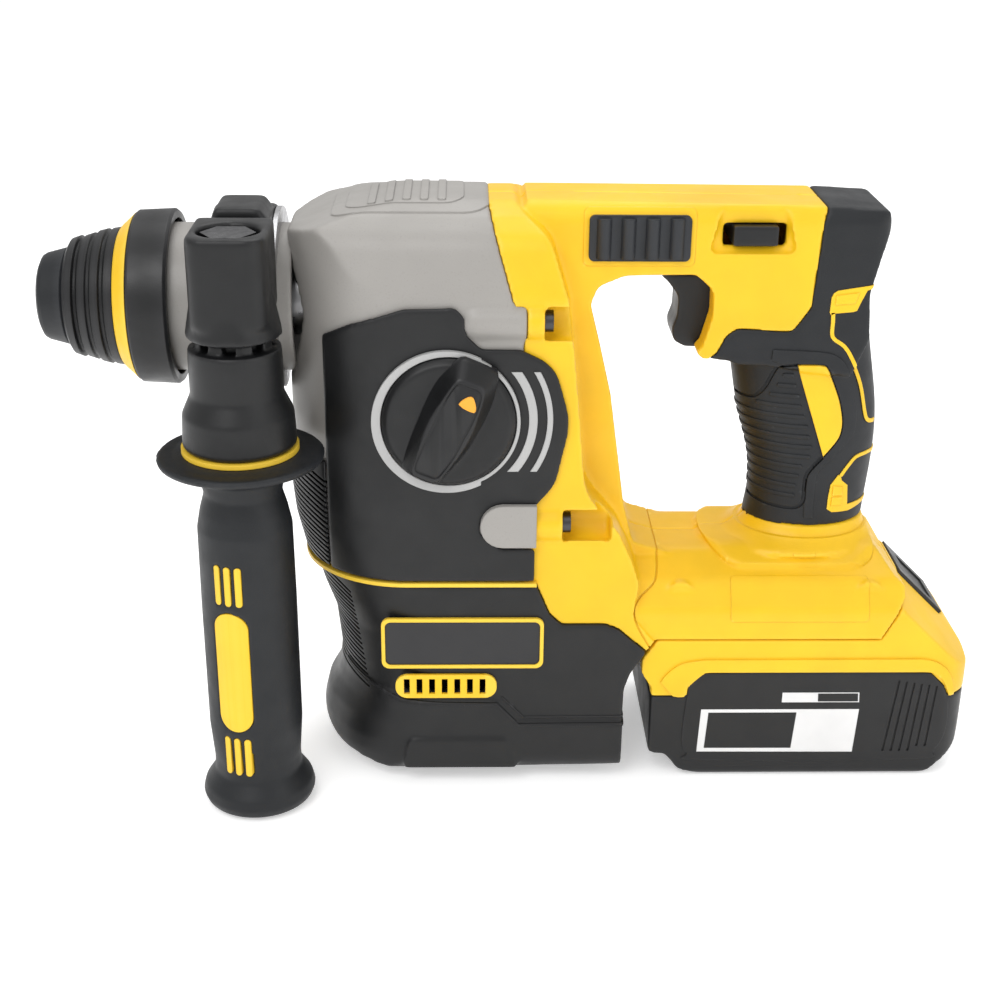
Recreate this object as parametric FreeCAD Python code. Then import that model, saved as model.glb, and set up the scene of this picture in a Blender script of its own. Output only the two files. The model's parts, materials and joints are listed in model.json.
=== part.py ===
import FreeCAD, Part
import math
import os

# Cordless rotary hammer with a front side handle, a D-handle and a slide-on battery pack.
# Millimetres. +X runs from the nose to the rear, +Z is up, -Y is the side with the mode dial.
# The origin is on the spindle axis at the mouth of the tool holder.

Vector = FreeCAD.Vector
os.makedirs("parts", exist_ok=True)

# ---------------------------------------------------------------- driving dimensions
SHANK_R = 5.05            # bore for a 10 mm shank
SHANK_DEPTH = 46.0
TIP_R = 5.6               # passage behind the shank for the tip of the impact bolt
RUN = 0.05                # radial running clearance
GAP = 0.3                 # clearance between bodies that move

SLEEVE_R = 31.8           # large ring of the locking sleeve
SLEEVE_REAR_X = 49.8
BARREL_R = 27.0
BARREL_X = 47.0
BARREL_REAR_X = 93.0

BODY_HALF = 40.0          # gear and motor housings, half width
COVER_T = 2.0
BODY_TOP_Z = 39.4
SEAM_Z = -97.5            # gear housing meets motor housing
SEAM_T = 1.5
BASE_Z = -184.0           # underside of the battery pack

DIAL_X = 148.6
DIAL_Z = -33.0
DIAL_R = 23.9
BAR_ANGLE = math.radians(63)
RING_R = 26.6             # outer radius of the dial's ring, whose centre lies a little in front

HANDLE_X = 75.5           # axis of the side handle
HANDLE_Y = -48.0
GUARD_R = 29.6

LOOP_HALF = 20.0          # D-handle bar, half width
GRIP_HALF = 18.0
FOOT_HALF = 38.0
PACK_HALF = 38.0

SHAFT_Z = -34.0           # intermediate shaft
MOTOR_X = 155.0
WOBBLE_X = 125.0
BEVEL_FACE_X = 149.2
SPINDLE_REAR_X = 114.0
HAMMER_R = 9.0            # cylinder for striker and piston

# The edge along which the yellow shell meets the motor housing
LOWER_SEAM = [(181, -99), (186, -111, 3), (190.5, -115.4, 3), (207, -115.4, 3), (212, -117.5, 4),
              (223.4, -127.4)]
REAR_SEAM = [(161.3, 43), (175, -4), (176, SEAM_Z)]
BOSS_Y = 36.0
BOSS_R = 7.0
UPPER_BOSS = {"z": 2.0, "front": 158.5, "rear": 182.0, "pocket": 194.0}
LOWER_BOSS = {"z": -75.0, "front": 164.0, "rear": 190.0, "pocket": 208.0}


# ---------------------------------------------------------------- helpers
def placed(plane, u, v, w):
    """A point of a drawing plane at height w above it."""
    if plane == "XZ":
        return Vector(u, w, v)
    if plane == "XY":
        return Vector(u, v, w)
    return Vector(w, u, v)


def outline(points, plane, w):
    """Closed wire through the points; a third value rounds that corner by its radius."""
    count = len(points)
    flat = [Vector(p[0], p[1], 0) for p in points]
    stops = []
    edges = []
    for i, p in enumerate(points):
        here = flat[i]
        before = (flat[i - 1] - here).normalize()
        after = (flat[(i + 1) % count] - here).normalize()
        radius = p[2] if len(p) > 2 else 0
        half = before.getAngle(after) / 2
        if radius == 0 or half > math.pi / 2 - 0.01:
            stops.append((here, here, None))
            continue
        reach = radius / math.tan(half)
        inward = (before + after).normalize()
        middle = here + inward * (radius / math.sin(half) - radius)
        stops.append((here + before * reach, here + after * reach, middle))
    for i, (start, end, middle) in enumerate(stops):
        a = placed(plane, start.x, start.y, w)
        b = placed(plane, end.x, end.y, w)
        if middle is not None:
            edges.append(Part.Arc(a, placed(plane, middle.x, middle.y, w), b).toShape())
        following = stops[(i + 1) % count][0]
        c = placed(plane, following.x, following.y, w)
        if (c - b).Length > 1e-6:
            edges.append(Part.LineSegment(b, c).toShape())
    return Part.Wire(edges)


def prism(points, plane, w0, w1):
    """Solid with the given outline, from w0 to w1 along the plane's normal."""
    face = Part.Face(outline(points, plane, w0))
    return face.extrude(placed(plane, 0, 0, w1 - w0))


def inset_prism(points, plane, w0, w1, inset):
    """The same solid with its outline moved inwards."""
    face = Part.Face(outline(points, plane, w0)).makeOffset2D(-inset)
    return face.extrude(placed(plane, 0, 0, w1 - w0))


def box(x0, x1, y0, y1, z0, z1):
    return Part.makeBox(x1 - x0, y1 - y0, z1 - z0, Vector(x0, y0, z0))


def rod_x(x0, x1, radius, y=0.0, z=0.0):
    return Part.makeCylinder(radius, x1 - x0, Vector(x0, y, z), Vector(1, 0, 0))


def rod_y(y0, y1, radius, x, z):
    return Part.makeCylinder(radius, y1 - y0, Vector(x, y0, z), Vector(0, 1, 0))


def rod_z(z0, z1, radius, x, y):
    return Part.makeCylinder(radius, z1 - z0, Vector(x, y, z0), Vector(0, 0, 1))


def tube_x(x0, x1, outer, inner, y=0.0, z=0.0):
    return rod_x(x0, x1, outer, y, z).cut(rod_x(x0 - 1, x1 + 1, inner, y, z))


def turned_x(points, z=0.0):
    """Ring or solid turned about a line along X; points are (x, radius)."""
    face = Part.Face(Part.makePolygon([Vector(x, 0, z + r) for x, r in points + points[:1]]))
    return face.revolve(Vector(0, 0, z), Vector(1, 0, 0), 360)


def turned_z(points, x, y):
    """Ring or solid turned about a vertical line; points are (z, radius)."""
    face = Part.Face(Part.makePolygon([Vector(x + r, y, z) for z, r in points + points[:1]]))
    return face.revolve(Vector(x, y, 0), Vector(0, 0, 1), 360)


def joined(shapes):
    result = shapes[0]
    for shape in shapes[1:]:
        result = result.fuse(shape)
    return result.removeSplitter()


def without(shape, cutters):
    for cutter in cutters:
        shape = shape.cut(cutter)
    return shape


def gear_x(x0, x1, tip_r, teeth, bore_r, z=0.0):
    """Spur gear on a line along X with flat-sided teeth."""
    depth = tip_r * 4.0 / teeth
    blank = tube_x(x0, x1, tip_r - depth, bore_r, 0, z)
    half = math.pi * tip_r / teeth * 0.42
    tooth = [(-half, tip_r - depth - 0.5), (-half * 0.6, tip_r), (half * 0.6, tip_r),
             (half, tip_r - depth - 0.5)]
    solid = prism([(y, r + z) for y, r in tooth], "YZ", x0, x1)
    ring = []
    for i in range(teeth):
        one = solid.copy()
        one.rotate(Vector(0, 0, z), Vector(1, 0, 0), 360.0 * i / teeth)
        ring.append(one)
    return blank.fuse(ring).removeSplitter()


NODES = {}


def keep(name, shape):
    NODES[name] = shape


# ---------------------------------------------------------------- tool holder and locking sleeve
def make_tool_holder():
    profile = [(0, SHANK_R), (0, 9), (12, 9), (12, 12.5), (64, 12.5), (64, 13.95), (SPINDLE_REAR_X, 13.95),
               (SPINDLE_REAR_X, HAMMER_R), (62, HAMMER_R), (59, TIP_R), (SHANK_DEPTH, TIP_R),
               (SHANK_DEPTH, SHANK_R)]
    slot = Part.makeCylinder(3.5, 30, Vector(30, -15, 0), Vector(0, 1, 0))
    keep("tool_holder", turned_x(profile).cut(slot))
    balls = [Part.makeSphere(3.4, Vector(30, side * 9.0, 0)) for side in (-1, 1)]
    keep("locking_balls", Part.makeCompound(balls))


def make_dust_cap():
    profile = [(0, 9.05), (0, 13.2), (1.0, 15.2), (2.2, 15.9), (9.4, 17.8), (10.3, 17.0), (10.3, 9.05)]
    keep("dust_cap", turned_x(profile))
    snap_ring = tube_x(10.4, 11.8, 12.0, 9.05).cut(box(10, 12, -2.5, 2.5, 5, 15))
    spring_seat = tube_x(37.4, 38.8, 16.4, 12.55)
    keep("holder_rings", Part.makeCompound([snap_ring, spring_seat]))


def make_sleeve():
    outer = [(10.7, 13.0), (10.7, 19.4), (11.8, 21.2), (14.4, 22.1), (15.0, 20.7), (16.0, 20.9),
             (16.6, 22.2),
             (19.4, 23.1), (20.0, 22.4), (21.0, 22.6), (21.6, 23.9), (24.4, 24.6), (25.0, 23.7),
             (26.0, 23.9),
             (26.6, 24.8), (29.6, 25.3), (29.6, 22.6), (35.3, 22.6), (35.3, 30.4), (36.3, 31.4),
             (SLEEVE_REAR_X - 1, SLEEVE_R + 0.2), (SLEEVE_REAR_X, SLEEVE_R - 0.6), (SLEEVE_REAR_X, 28.6),
             (39, 28.6), (39, 16.8), (22, 16.8), (22, 13.0)]
    keep("locking_sleeve", turned_x(outer))
    keep("sleeve_trim_ring", turned_x([(29.8, 22.65), (29.8, 25.4), (30.6, 26.4), (35.2, 30.6),
                                       (35.2, 22.65)]))
    pitch = 2.9
    path = Part.makeHelix(pitch, pitch * 4.5, 14.9)
    path.rotate(Vector(0, 0, 0), Vector(0, 1, 0), 90)
    path.translate(Vector(23.2, 0, 0))
    start = path.Edges[0].firstVertex().Point
    wire = Part.Wire(Part.makeCircle(0.75, start, Vector(0, 1, 0)))
    coil = Part.Wire(path.Edges).makePipeShell([wire], True, True)
    keep("sleeve_spring", coil)


# ---------------------------------------------------------------- gear housing
GEAR_SIDE = [(86, 18), (91, 18), (91, 28.5), (96, 30.5, 4), (101.5, 32.4, 8), (107, 34.2, 8),
             (114, 36.2, 12),
             (134, BODY_TOP_Z, 26), REAR_SEAM[0], REAR_SEAM[1], REAR_SEAM[2], (86, SEAM_Z)]
GEAR_FRONT = [(60, 89.5), (-60, 89.5), (-72, 90.3), (-82, 91.3), (SEAM_Z, 95)]
BODY_CROSS = [(-BODY_HALF, -150), (BODY_HALF, -150), (BODY_HALF, 12, 20), (34, 30, 14), (24.5, 36.6, 3),
              (14, BODY_TOP_Z, 8), (-14, BODY_TOP_Z, 8), (-24.5, 36.6, 3), (-34, 30, 14),
              (-BODY_HALF, 12, 20)]
FRONT_R = 38.5            # rounding of the body's front in plan


def rounded_front(levels, half, shift, rear_x=200.0):
    """Block whose front is round in plan and follows (z, front x) pairs down its height."""
    radius = FRONT_R + half - BODY_HALF
    wires = []
    for z, front_x in levels:
        x = front_x + shift
        plan = [(x, -half, radius), (rear_x, -half), (rear_x, half), (x, half, radius)]
        wires.append(outline(plan, "XY", z))
    return Part.makeLoft(wires, True, True)


def shaped(points, plane, w0, w1, inset):
    """Prism, with its outline moved inwards where an inset is given and outwards where it is negative."""
    if inset == 0:
        return prism(points, plane, w0, w1)
    return inset_prism(points, plane, w0, w1, inset)


def gear_block(inset):
    """Outer form of the gear housing, shrunk evenly by the inset."""
    side = shaped(GEAR_SIDE, "XZ", -BODY_HALF, BODY_HALF, inset)
    front = rounded_front(GEAR_FRONT, BODY_HALF - inset, inset)
    return side.common(front).common(shaped(BODY_CROSS, "YZ", 60, 200, inset))


def screw_boss(boss, side, x0, x1, radius):
    return rod_x(x0, x1, radius, side * BOSS_Y, boss["z"])


def make_barrel():
    tube = rod_x(BARREL_X, BARREL_REAR_X, BARREL_R)
    bores = [rod_x(40, 56, 25.0), rod_x(50, 76, 23.5), rod_x(70, 110, 22.6),
             rod_x(90.6, 93.5, 8.05, 0, SHAFT_Z)]
    keep("nose_barrel", without(tube, bores))


def make_gear_housing():
    wall = 3.5
    pieces = [gear_block(0)]
    for boss in (UPPER_BOSS, LOWER_BOSS):
        for side in (-1, 1):
            front = boss["front"]
            capsule = screw_boss(boss, side, front, 176, BOSS_R)
            nose = Part.makeSphere(BOSS_R, Vector(front, side * BOSS_Y, boss["z"]))
            pieces.append(capsule)
            pieces.append(nose)
    solid = joined(pieces)
    cavity = gear_block(wall).common(box(93, 167, -60, 60, SEAM_Z + wall, 60))
    cutters = [cavity, rod_x(80, BARREL_REAR_X, BARREL_R), rod_x(90, 110, 22.6)]
    cutters.append(rod_z(-110, -80, 10.05, MOTOR_X, 0))
    cutters.append(rod_x(90.6, 93.5, 8.05, 0, SHAFT_Z))
    cutters.append(rod_x(160, 173.5, 8.05, 0, SHAFT_Z))
    cutters.append(rod_y(-60, -30, 6.1, DIAL_X, DIAL_Z))
    for boss in (UPPER_BOSS, LOWER_BOSS):
        for side in (-1, 1):
            cutters.append(screw_boss(boss, side, boss["front"] + 2, 200, 2.25))
    return without(solid, cutters)


COVER_SIDE = [(104, -4), (114, 1.5, 6), (133, 7.5, 8), (151, 8, 3), (154.5, 4, 2), (155, -2, 3),
              (160, -6.8, 3),
              (174, -7, 3), (186, -13, 14), (192, -34, 26), (187, -58, 16), (180, -66.5, 2),
              (167, -66.5, 4),
              (160.5, -75, 4), (167, -83.5, 4), (180, -83.5, 1), (180, -96.8), (104, -96.8)]


def cover_skin(points, side):
    low, high = (0.1, BODY_HALF + COVER_T) if side > 0 else (-BODY_HALF - COVER_T, -0.1)
    skin = rounded_front(GEAR_FRONT, BODY_HALF + COVER_T, -COVER_T).common(prism(points, "XZ", low, high))
    bosses = []
    for boss in (UPPER_BOSS, LOWER_BOSS):
        bosses.append(screw_boss(boss, side, boss["front"], 200, BOSS_R + 0.1))
        bosses.append(Part.makeSphere(BOSS_R + 0.1, Vector(boss["front"], side * BOSS_Y, boss["z"])))
    core = rounded_front(GEAR_FRONT, BODY_HALF, 0, 230.0)
    return without(skin, [core] + bosses)


def make_covers():
    left = cover_skin(COVER_SIDE, -1)
    left = left.cut(rod_y(-60, -30, DIAL_R + GAP, DIAL_X, DIAL_Z))
    keep("side_cover_left", left)
    keep("side_cover_right", cover_skin(COVER_SIDE, 1))
    half = BODY_HALF + COVER_T
    front = prism([(80, -52), (103.9, -52), (103.9, -96.8), (80, -96.8)], "XZ", -half, half)
    form = rounded_front(GEAR_FRONT, half, -COVER_T).common(front)
    keep("front_jacket", form.cut(rounded_front(GEAR_FRONT, BODY_HALF, 0, 230.0)))


def on_dial(along, across):
    """Point (x, z) of the dial's face, along and across the finger bar."""
    x = DIAL_X + along * math.cos(BAR_ANGLE) - across * math.sin(BAR_ANGLE)
    z = DIAL_Z + along * math.sin(BAR_ANGLE) + across * math.cos(BAR_ANGLE)
    return x, z


def lens(reach, end, middle, y):
    """Outline of the finger bar at depth y, wider at its middle than at its ends."""
    corners = [(-reach, -end, 2.5), (0, -middle, 44), (reach, -end, 2.5)]
    corners = corners + [(-u, -v, r) for u, v, r in corners]
    return outline([(*on_dial(u, v), r) for u, v, r in corners], "XZ", y)


def make_dial():
    y = -BODY_HALF
    broad = rod_y(y - 4.0, y - COVER_T, RING_R, DIAL_X - 0.8, DIAL_Z - 0.4)
    broad = broad.common(box(DIAL_X - 40, DIAL_X + 11.5, -60, -30, DIAL_Z - 40, DIAL_Z + 40))
    ring = joined([broad, rod_y(y - 4.0, y - COVER_T, DIAL_R + 1.5, DIAL_X, DIAL_Z)])
    ring = ring.cut(rod_y(y - 5, y, DIAL_R + GAP, DIAL_X, DIAL_Z))
    disc = rod_y(y - 6.5, y - 0.3, DIAL_R, DIAL_X, DIAL_Z)
    rim = Part.makeCone(DIAL_R - 2.2, DIAL_R, 2.2, Vector(DIAL_X, y - 6.5, DIAL_Z), Vector(0, 1, 0))
    disc = disc.common(rim.fuse(rod_y(y - 4.3, y, DIAL_R, DIAL_X, DIAL_Z)))
    bar_solid = Part.makeLoft([lens(22.5, 7.1, 12.2, y - 5), lens(18.5, 4.8, 8.6, y - 13)], True, True)
    bar_solid = bar_solid.common(rod_y(y - 14, y - 4, DIAL_R - 0.4, DIAL_X, DIAL_Z))
    stem = rod_y(y - 1, -27, 6.0, DIAL_X, DIAL_Z)
    pin = rod_y(-28, -21, 2.0, DIAL_X, DIAL_Z + 3.5)
    knob = joined([disc, bar_solid, stem, pin])
    marker = [on_dial(along, across) for along, across in ((14.0, -0.6), (8.6, -3.6), (8.6, 2.4))]
    pointer = prism(marker, "XZ", y - 13, y - 12.2)
    keep("dial_pointer", pointer)
    keep("mode_dial", knob.cut(pointer))
    trims = [ring]
    for radius, width in ((30.0, 3.0), (36.0, 2.0)):
        band = rod_y(y - COVER_T - 0.5, y - COVER_T, radius + width / 2, DIAL_X, DIAL_Z)
        band = band.cut(rod_y(y - 4, y, radius - width / 2, DIAL_X, DIAL_Z))
        trims.append(band.common(box(DIAL_X + 12, DIAL_X + 50, -60, -30, DIAL_Z - 19.4, DIAL_Z + 18.2)))
    keep("dial_trim", Part.makeCompound(trims))


# ---------------------------------------------------------------- drive inside the gear housing
def make_drive():
    keep("oil_seal", tube_x(56.5, 62, 23.45, 12.55))
    keep("spindle_gear", gear_x(98, 106, 21.9, 44, 14.0))
    plate = prism([(-32, -44, 6), (32, -44, 6), (32, 28, 16), (-32, 28, 16)], "YZ", 109, 113)
    plate = plate.common(gear_block(3.55))
    plate = without(plate, [rod_x(100, 120, 14.0), rod_x(100, 120, 6.3, 0, SHAFT_Z)])
    keep("bearing_plate", plate)
    pinion = gear_x(98, 106, 11.6, 23, 5.0, SHAFT_Z)
    shaft = [rod_x(91, 98, 4.0, 0, SHAFT_Z), rod_x(98, 167, 6.0, 0, SHAFT_Z),
             rod_x(167, 173, 4.0, 0, SHAFT_Z)]
    keep("intermediate_shaft", joined(shaft + [pinion]))
    centre = Vector(WOBBLE_X, 0, SHAFT_Z)
    hub = Part.makeSphere(10.5, centre).common(box(WOBBLE_X - 6, WOBBLE_X + 6, -20, 20, -60, 0))
    keep("wobble_hub", hub.cut(rod_x(100, 150, 6.05, 0, SHAFT_Z)))
    ring = Part.makeSphere(14.8, centre).common(box(WOBBLE_X - 4.5, WOBBLE_X + 4.5, -20, 20, -60, 0))
    ring = ring.cut(Part.makeSphere(10.6, centre))
    finger = rod_z(SHAFT_Z + 12.5, 5, 2.4, WOBBLE_X, 0)
    keep("wobble_ring", joined([ring, finger]))
    face_x = BEVEL_FACE_X
    bevel = turned_x([(face_x - 6.4, 6.05), (face_x - 6.4, 18.6), (face_x, 16.0), (face_x, 12.0),
                      (face_x - 2.4, 10.0), (face_x - 2.4, 6.05)], SHAFT_Z)
    cuts = []
    for i in range(30):
        notch = box(face_x - 2, face_x + 1, -0.8, 0.8, SHAFT_Z + 11.5, SHAFT_Z + 19)
        notch.rotate(Vector(0, 0, SHAFT_Z), Vector(1, 0, 0), 12.0 * i)
        cuts.append(notch)
    keep("bevel_gear", bevel.cut(Part.makeCompound(cuts)))
    piston = rod_x(WOBBLE_X - 30, WOBBLE_X + 7, HAMMER_R - RUN)
    cheek = box(115, 140, -20, 20, 6.2, 20)
    other = box(115, 140, -20, 20, -20, -6.2)
    hollow = rod_x(100, 117, 6.6)
    keep("piston", without(piston, [cheek, other, hollow, rod_z(-10, 10, 4.3, WOBBLE_X, 0)]))
    keep("striker", joined([rod_x(74, 87, HAMMER_R - RUN), rod_x(71.5, 75, 5.0)]))
    keep("impact_bolt", joined([rod_x(62.6, 70, HAMMER_R - RUN),
                                rod_x(SHANK_DEPTH + GAP, 63, SHANK_R - RUN)]))


# ---------------------------------------------------------------- motor and its housing
MOTOR_SIDE = [(90, -99), (90, -150), (105, -172, 10), (126, -179.6, 14), (214.8, -177, 3), (215.3, -144, 3),
              (217.4, -137, 4)] + LOWER_SEAM[::-1]
MOTOR_FRONT = [(-99, 96.0), (-110, 99.0), (-122, 103.4), (-139, 105.2), (-182, 107)]
MOTOR_CROSS = [(-BODY_HALF - 1, -90), (-BODY_HALF - 1, -180, 9), (BODY_HALF + 1, -180, 9),
               (BODY_HALF + 1, -90)]
BOOT_SIDE = [(90, -141.6), (108, -141.6, 20), (118, -145.6, 20), (130, -148.5, 10), (166.6, -148.5, 3),
             (174.6, -157.8, 3), (215.3, -157.8), (215.3, -177.2), (129, -180, 18), (105, -176, 14),
             (90, -165)]
BOOT_FRONT = [(-141, 105.2), (-148, 104.6), (-152.5, 103), (-158.5, 99.4), (-166, 97.6), (-173, 97.8),
              (-182, 100)]
BOOT_T = 1.3              # the lower boot stands out from the motor housing by this


def motor_block(inset):
    half = BODY_HALF + 1
    side = shaped(MOTOR_SIDE, "XZ", -half, half, inset)
    front = rounded_front(MOTOR_FRONT, half - inset, inset, 230.0)
    return side.common(front).common(shaped(MOTOR_CROSS, "YZ", 80, 230, inset))


def make_motor_housing():
    half = BODY_HALF + 1
    skid_side = [(130, -177, 2), (133, -164, 3), (170, -164, 3), (176, -177, 2)]
    skid = prism(skid_side, "XZ", -half - BOOT_T - 1.2, half + BOOT_T + 1.2)
    boot = prism(BOOT_SIDE, "XZ", -half - BOOT_T, half + BOOT_T)
    boot = boot.common(rounded_front(BOOT_FRONT, half + BOOT_T, 0, 230.0))
    boot = boot.common(shaped(MOTOR_CROSS, "YZ", 80, 230, -BOOT_T)).common(box(80, 230, -60, 60, -180, -90))
    solid = joined([motor_block(0), boot, skid])
    slots = [box(131.2 + 4.8 * i, 133.4 + 4.8 * i, -60, -30, -144.2, -137.8) for i in range(7)]
    opening = rod_z(-110, -90, 30, MOTOR_X, 0)
    keep("motor_housing", without(solid, [motor_block(3.0), opening] + slots))
    frame = prism([(123, -133, 3), (184, -133, 3), (184, -112, 3), (123, -112, 3)], "XZ", -half - 1.4,
                  -half)
    inner = [(124.4, -131.6, 2.2), (182.6, -131.6, 2.2), (182.6, -113.4, 2.2), (124.4, -113.4, 2.2)]
    keep("nameplate_frame", frame.cut(prism(inner, "XZ", -60, -30)))
    keep("nameplate", prism(inner, "XZ", -half - 0.9, -half))
    capsule = [(128, -146, 4.6), (166.5, -146, 4.6), (166.5, -136, 4.6), (128, -136, 4.6)]
    grille = prism(capsule, "XZ", -half - 1.2, -half)
    keep("vent_grille", without(grille, slots))
    edge = half + 1.0
    radius = FRONT_R + 2
    trim = prism([(92.6, -edge, radius), (181, -edge), (181, edge), (92.6, edge, radius)],
                 "XY", SEAM_Z - SEAM_T, SEAM_Z)
    keep("seam_trim", trim.cut(rod_z(-110, -90, 30, MOTOR_X, 0)))


def make_motor():
    stator = rod_z(-156, -118, 27, MOTOR_X, 0).cut(rod_z(-160, -110, 15, MOTOR_X, 0))
    keep("motor_stator", stator)
    pinion = rod_z(-60, -48, 5.4, MOTOR_X, 0)
    cuts = []
    for i in range(9):
        notch = box(MOTOR_X + 4.2, MOTOR_X + 7, -0.7, 0.7, -61, -47)
        notch.rotate(Vector(MOTOR_X, 0, 0), Vector(0, 0, 1), 40.0 * i)
        cuts.append(notch)
    shaft = rod_z(-174, -48, 4.0, MOTOR_X, 0)
    core = rod_z(-150, -122, 14, MOTOR_X, 0)
    keep("motor_rotor", joined([shaft, core, pinion.cut(Part.makeCompound(cuts))]))
    hub = turned_z([(-114, 4.05), (-114, 24), (-113, 24), (-113, 8), (-105, 8), (-105, 4.05)], MOTOR_X, 0)
    blades = []
    for i in range(12):
        blade = box(MOTOR_X + 7, MOTOR_X + 23.5, -0.6, 0.6, -113.5, -105)
        blade.rotate(Vector(MOTOR_X, 0, 0), Vector(0, 0, 1), 30.0 * i)
        blades.append(blade)
    keep("cooling_fan", hub.fuse(blades).removeSplitter())
    frame = prism([(116, -30, 4), (205, -30, 4), (205, 30, 4), (116, 30, 4)], "XY", -148, -126)
    pocket = prism([(186, -26, 2), (201, -26, 2), (201, 26, 2), (186, 26, 2)], "XY", -160, -110)
    cradle = without(frame, [rod_z(-200, -100, 27.05, MOTOR_X, 0), pocket])
    foot = without(rod_z(-176.5, -168.5, 14, MOTOR_X, 0), [rod_z(-175.6, -160, 10.05, MOTOR_X, 0)])
    post = box(MOTOR_X + 13, MOTOR_X + 28, -5, 5, -176.5, -172)
    riser = box(MOTOR_X + 27.2, 183.8, -5, 5, -176.5, -126)
    keep("motor_cradle", joined([cradle, foot, post, riser]).common(motor_block(3.05)))


def make_bearings():
    rings = [tube_x(65, 75, 23.45, 14.0)]
    for x0, x1 in ((91, 93.4), (167.6, 172.8)):
        rings.append(tube_x(x0, x1, 8.0, 4.05, 0, SHAFT_Z))
    for z0, z1 in ((-175.1, -168.6), (-96.5, -90.5)):
        rings.append(rod_z(z0, z1, 10, MOTOR_X, 0).cut(rod_z(z0 - 1, z1 + 1, 4.05, MOTOR_X, 0)))
    keep("bearings", Part.makeCompound(rings))


# ---------------------------------------------------------------- D-handle shell
BODY_SHELL = REAR_SEAM[:1] + [(167, 43, 3), (184, 30, 14), (191, 8, 20), (195, -30, 30), (198, -62, 20),
                              (211, -78, 10), (216.5, -90, 8), (219.5, -99, 6), (217.5, -113, 8),
                              (226.2, -123.4)]
BODY_SHELL = BODY_SHELL + LOWER_SEAM[::-1] + [(181, SEAM_Z), REAR_SEAM[2], REAR_SEAM[1]]
BAR_SIDE = [(176, 39.8), (284, 38.6), (304.8, 37.1, 2), (306.2, 31, 5), (302.6, 19, 6), (300, 7, 6),
            (301.5, -10),
            (296, -24), (262, -20), (253, -19.6, 3), (250.5, -18.2, 2), (240.6, -17.2, 1.6),
            (238.2, -14.8, 1),
            (240.6, -12.5, 1.5), (243.6, -1, 8), (243.4, 8, 5), (237, 14, 4), (211.3, 13.5, 6),
            (202, 9.5, 5),
            (199.5, 3, 5), (203.2, -11.4), (207.9, -31), (211.5, -55.3), (214.3, -74.5, 20),
            (218.4, -91, 4),
            (236, -96), (216, -112), (182, -96), (176, -20)]
FOOT_SIDE = [(214, -88), (308, -88), (318.2, -100.8, 3), (321.4, -103.4), (321.4, -107), (313.2, -123.3),
             (226.2, -123.3), (217, -113)]
FOOT_CROSS = [(-FOOT_HALF, -190), (FOOT_HALF, -190), (FOOT_HALF, -111.5, 8), (31.5, -101.2, 8),
              (17, -94, 12),
              (-17, -94, 12), (-31.5, -101.2, 8), (-FOOT_HALF, -111.5, 8)]
PLATE_PLAN = [(246, -8, 6), (255.5, -26.5, 10), (303, -26.5, 6), (311.5, -18, 6), (311.5, 18, 6),
              (303, 26.5, 6),
              (255.5, 26.5, 10), (246, 8, 6)]
GRIP_LEVELS = [(8, 252, 303, GRIP_HALF), (-8, 251, 305, GRIP_HALF), (-22, 254, 307.5, GRIP_HALF),
               (-41, 257.8, 310.8, GRIP_HALF), (-62, 263.8, 311.2, GRIP_HALF), (-78, 264.2, 310, GRIP_HALF),
               (-93, 262, 309.5, GRIP_HALF)]
FLARE_LEVELS = [(-85, 263.9, 309.9, GRIP_HALF + 0.2), (-88.5, 261.5, 310.8, GRIP_HALF + 1.6),
                (-91.5, 257.5, 312.5, GRIP_HALF + 4.6), (-94, 252, 314.5, GRIP_HALF + 8)]


def stacked(levels, inset):
    """Loft through upright ellipses; each level is (z, front x, rear x, half width)."""
    wires = []
    for z, front, rear, half in levels:
        ellipse = Part.Ellipse(Vector((front + rear) / 2, 0, z), (rear - front) / 2 - inset, half - inset)
        wires.append(Part.Wire(ellipse.toShape()))
    return Part.makeLoft(wires, True, False)


def grip_form(inset):
    return stacked(GRIP_LEVELS, inset)


def bar_form(inset):
    half = LOOP_HALF - inset
    side = shaped(BAR_SIDE, "XZ", -half, half, inset)
    corner = max(8 - inset, 0.6)
    section = prism([(-half, -140), (half, -140), (half, 39.8 - inset, corner),
                     (-half, 40 - inset, corner)],
                    "YZ", 170, 320)
    rear_x = 306.2 - inset
    plan = prism([(170, -half), (rear_x, -half, 6 - inset), (rear_x, half, 6 - inset), (170, half)],
                 "XY", -140, 60)
    return side.common(section).common(plan)


def body_form(inset):
    half = BODY_HALF - inset
    side = shaped(BODY_SHELL, "XZ", -half, half, inset)
    return side.common(shaped(BODY_CROSS, "YZ", 150, 240, inset))


def foot_form(inset):
    half = FOOT_HALF - inset
    return shaped(FOOT_SIDE, "XZ", -half, half, inset).common(shaped(FOOT_CROSS, "YZ", 200, 360, inset))


def foot_plate():
    """Raised plate round the foot of the grip and the flare that runs into it."""
    plate = prism(PLATE_PLAN, "XY", -108, -80).common(shaped(FOOT_CROSS, "YZ", 200, 360, -1.3))
    return joined([plate, stacked(FLARE_LEVELS, 0)])


OVERMOULD_SIDE = [(243.3, -20), (243.3, -17.3), (246, -15), (249, -8.5, 3), (253, -5.8, 2), (273, -7, 4),
                  (279, 2, 3), (281, 33, 2), (286, 50),
                  (320, 50), (320, -86), (240, -86)]
SHELL_SCREWS = [(202.5, -42, LOOP_HALF), (206, 28, LOOP_HALF), (276, 32, LOOP_HALF),
                (236, -106, FOOT_HALF - 2),
                (308, -106, FOOT_HALF - 2), (205, -100, BODY_HALF)]
RAIL_Z = (-120.0, -114.0)  # heads of the battery's guide rails
TRIGGER_SLOT = box(222, 259.4, -9.4, 9.4, -17.6, 12.4)


def shell_screw(x, z, half):
    head = rod_y(half - 5, half - 1.8, 3.6, x, z).cut(rod_y(half - 3.4, half, 1.6, x, z))
    return joined([head, rod_y(half - 24, half - 4.8, 1.9, x, z)])


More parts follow.
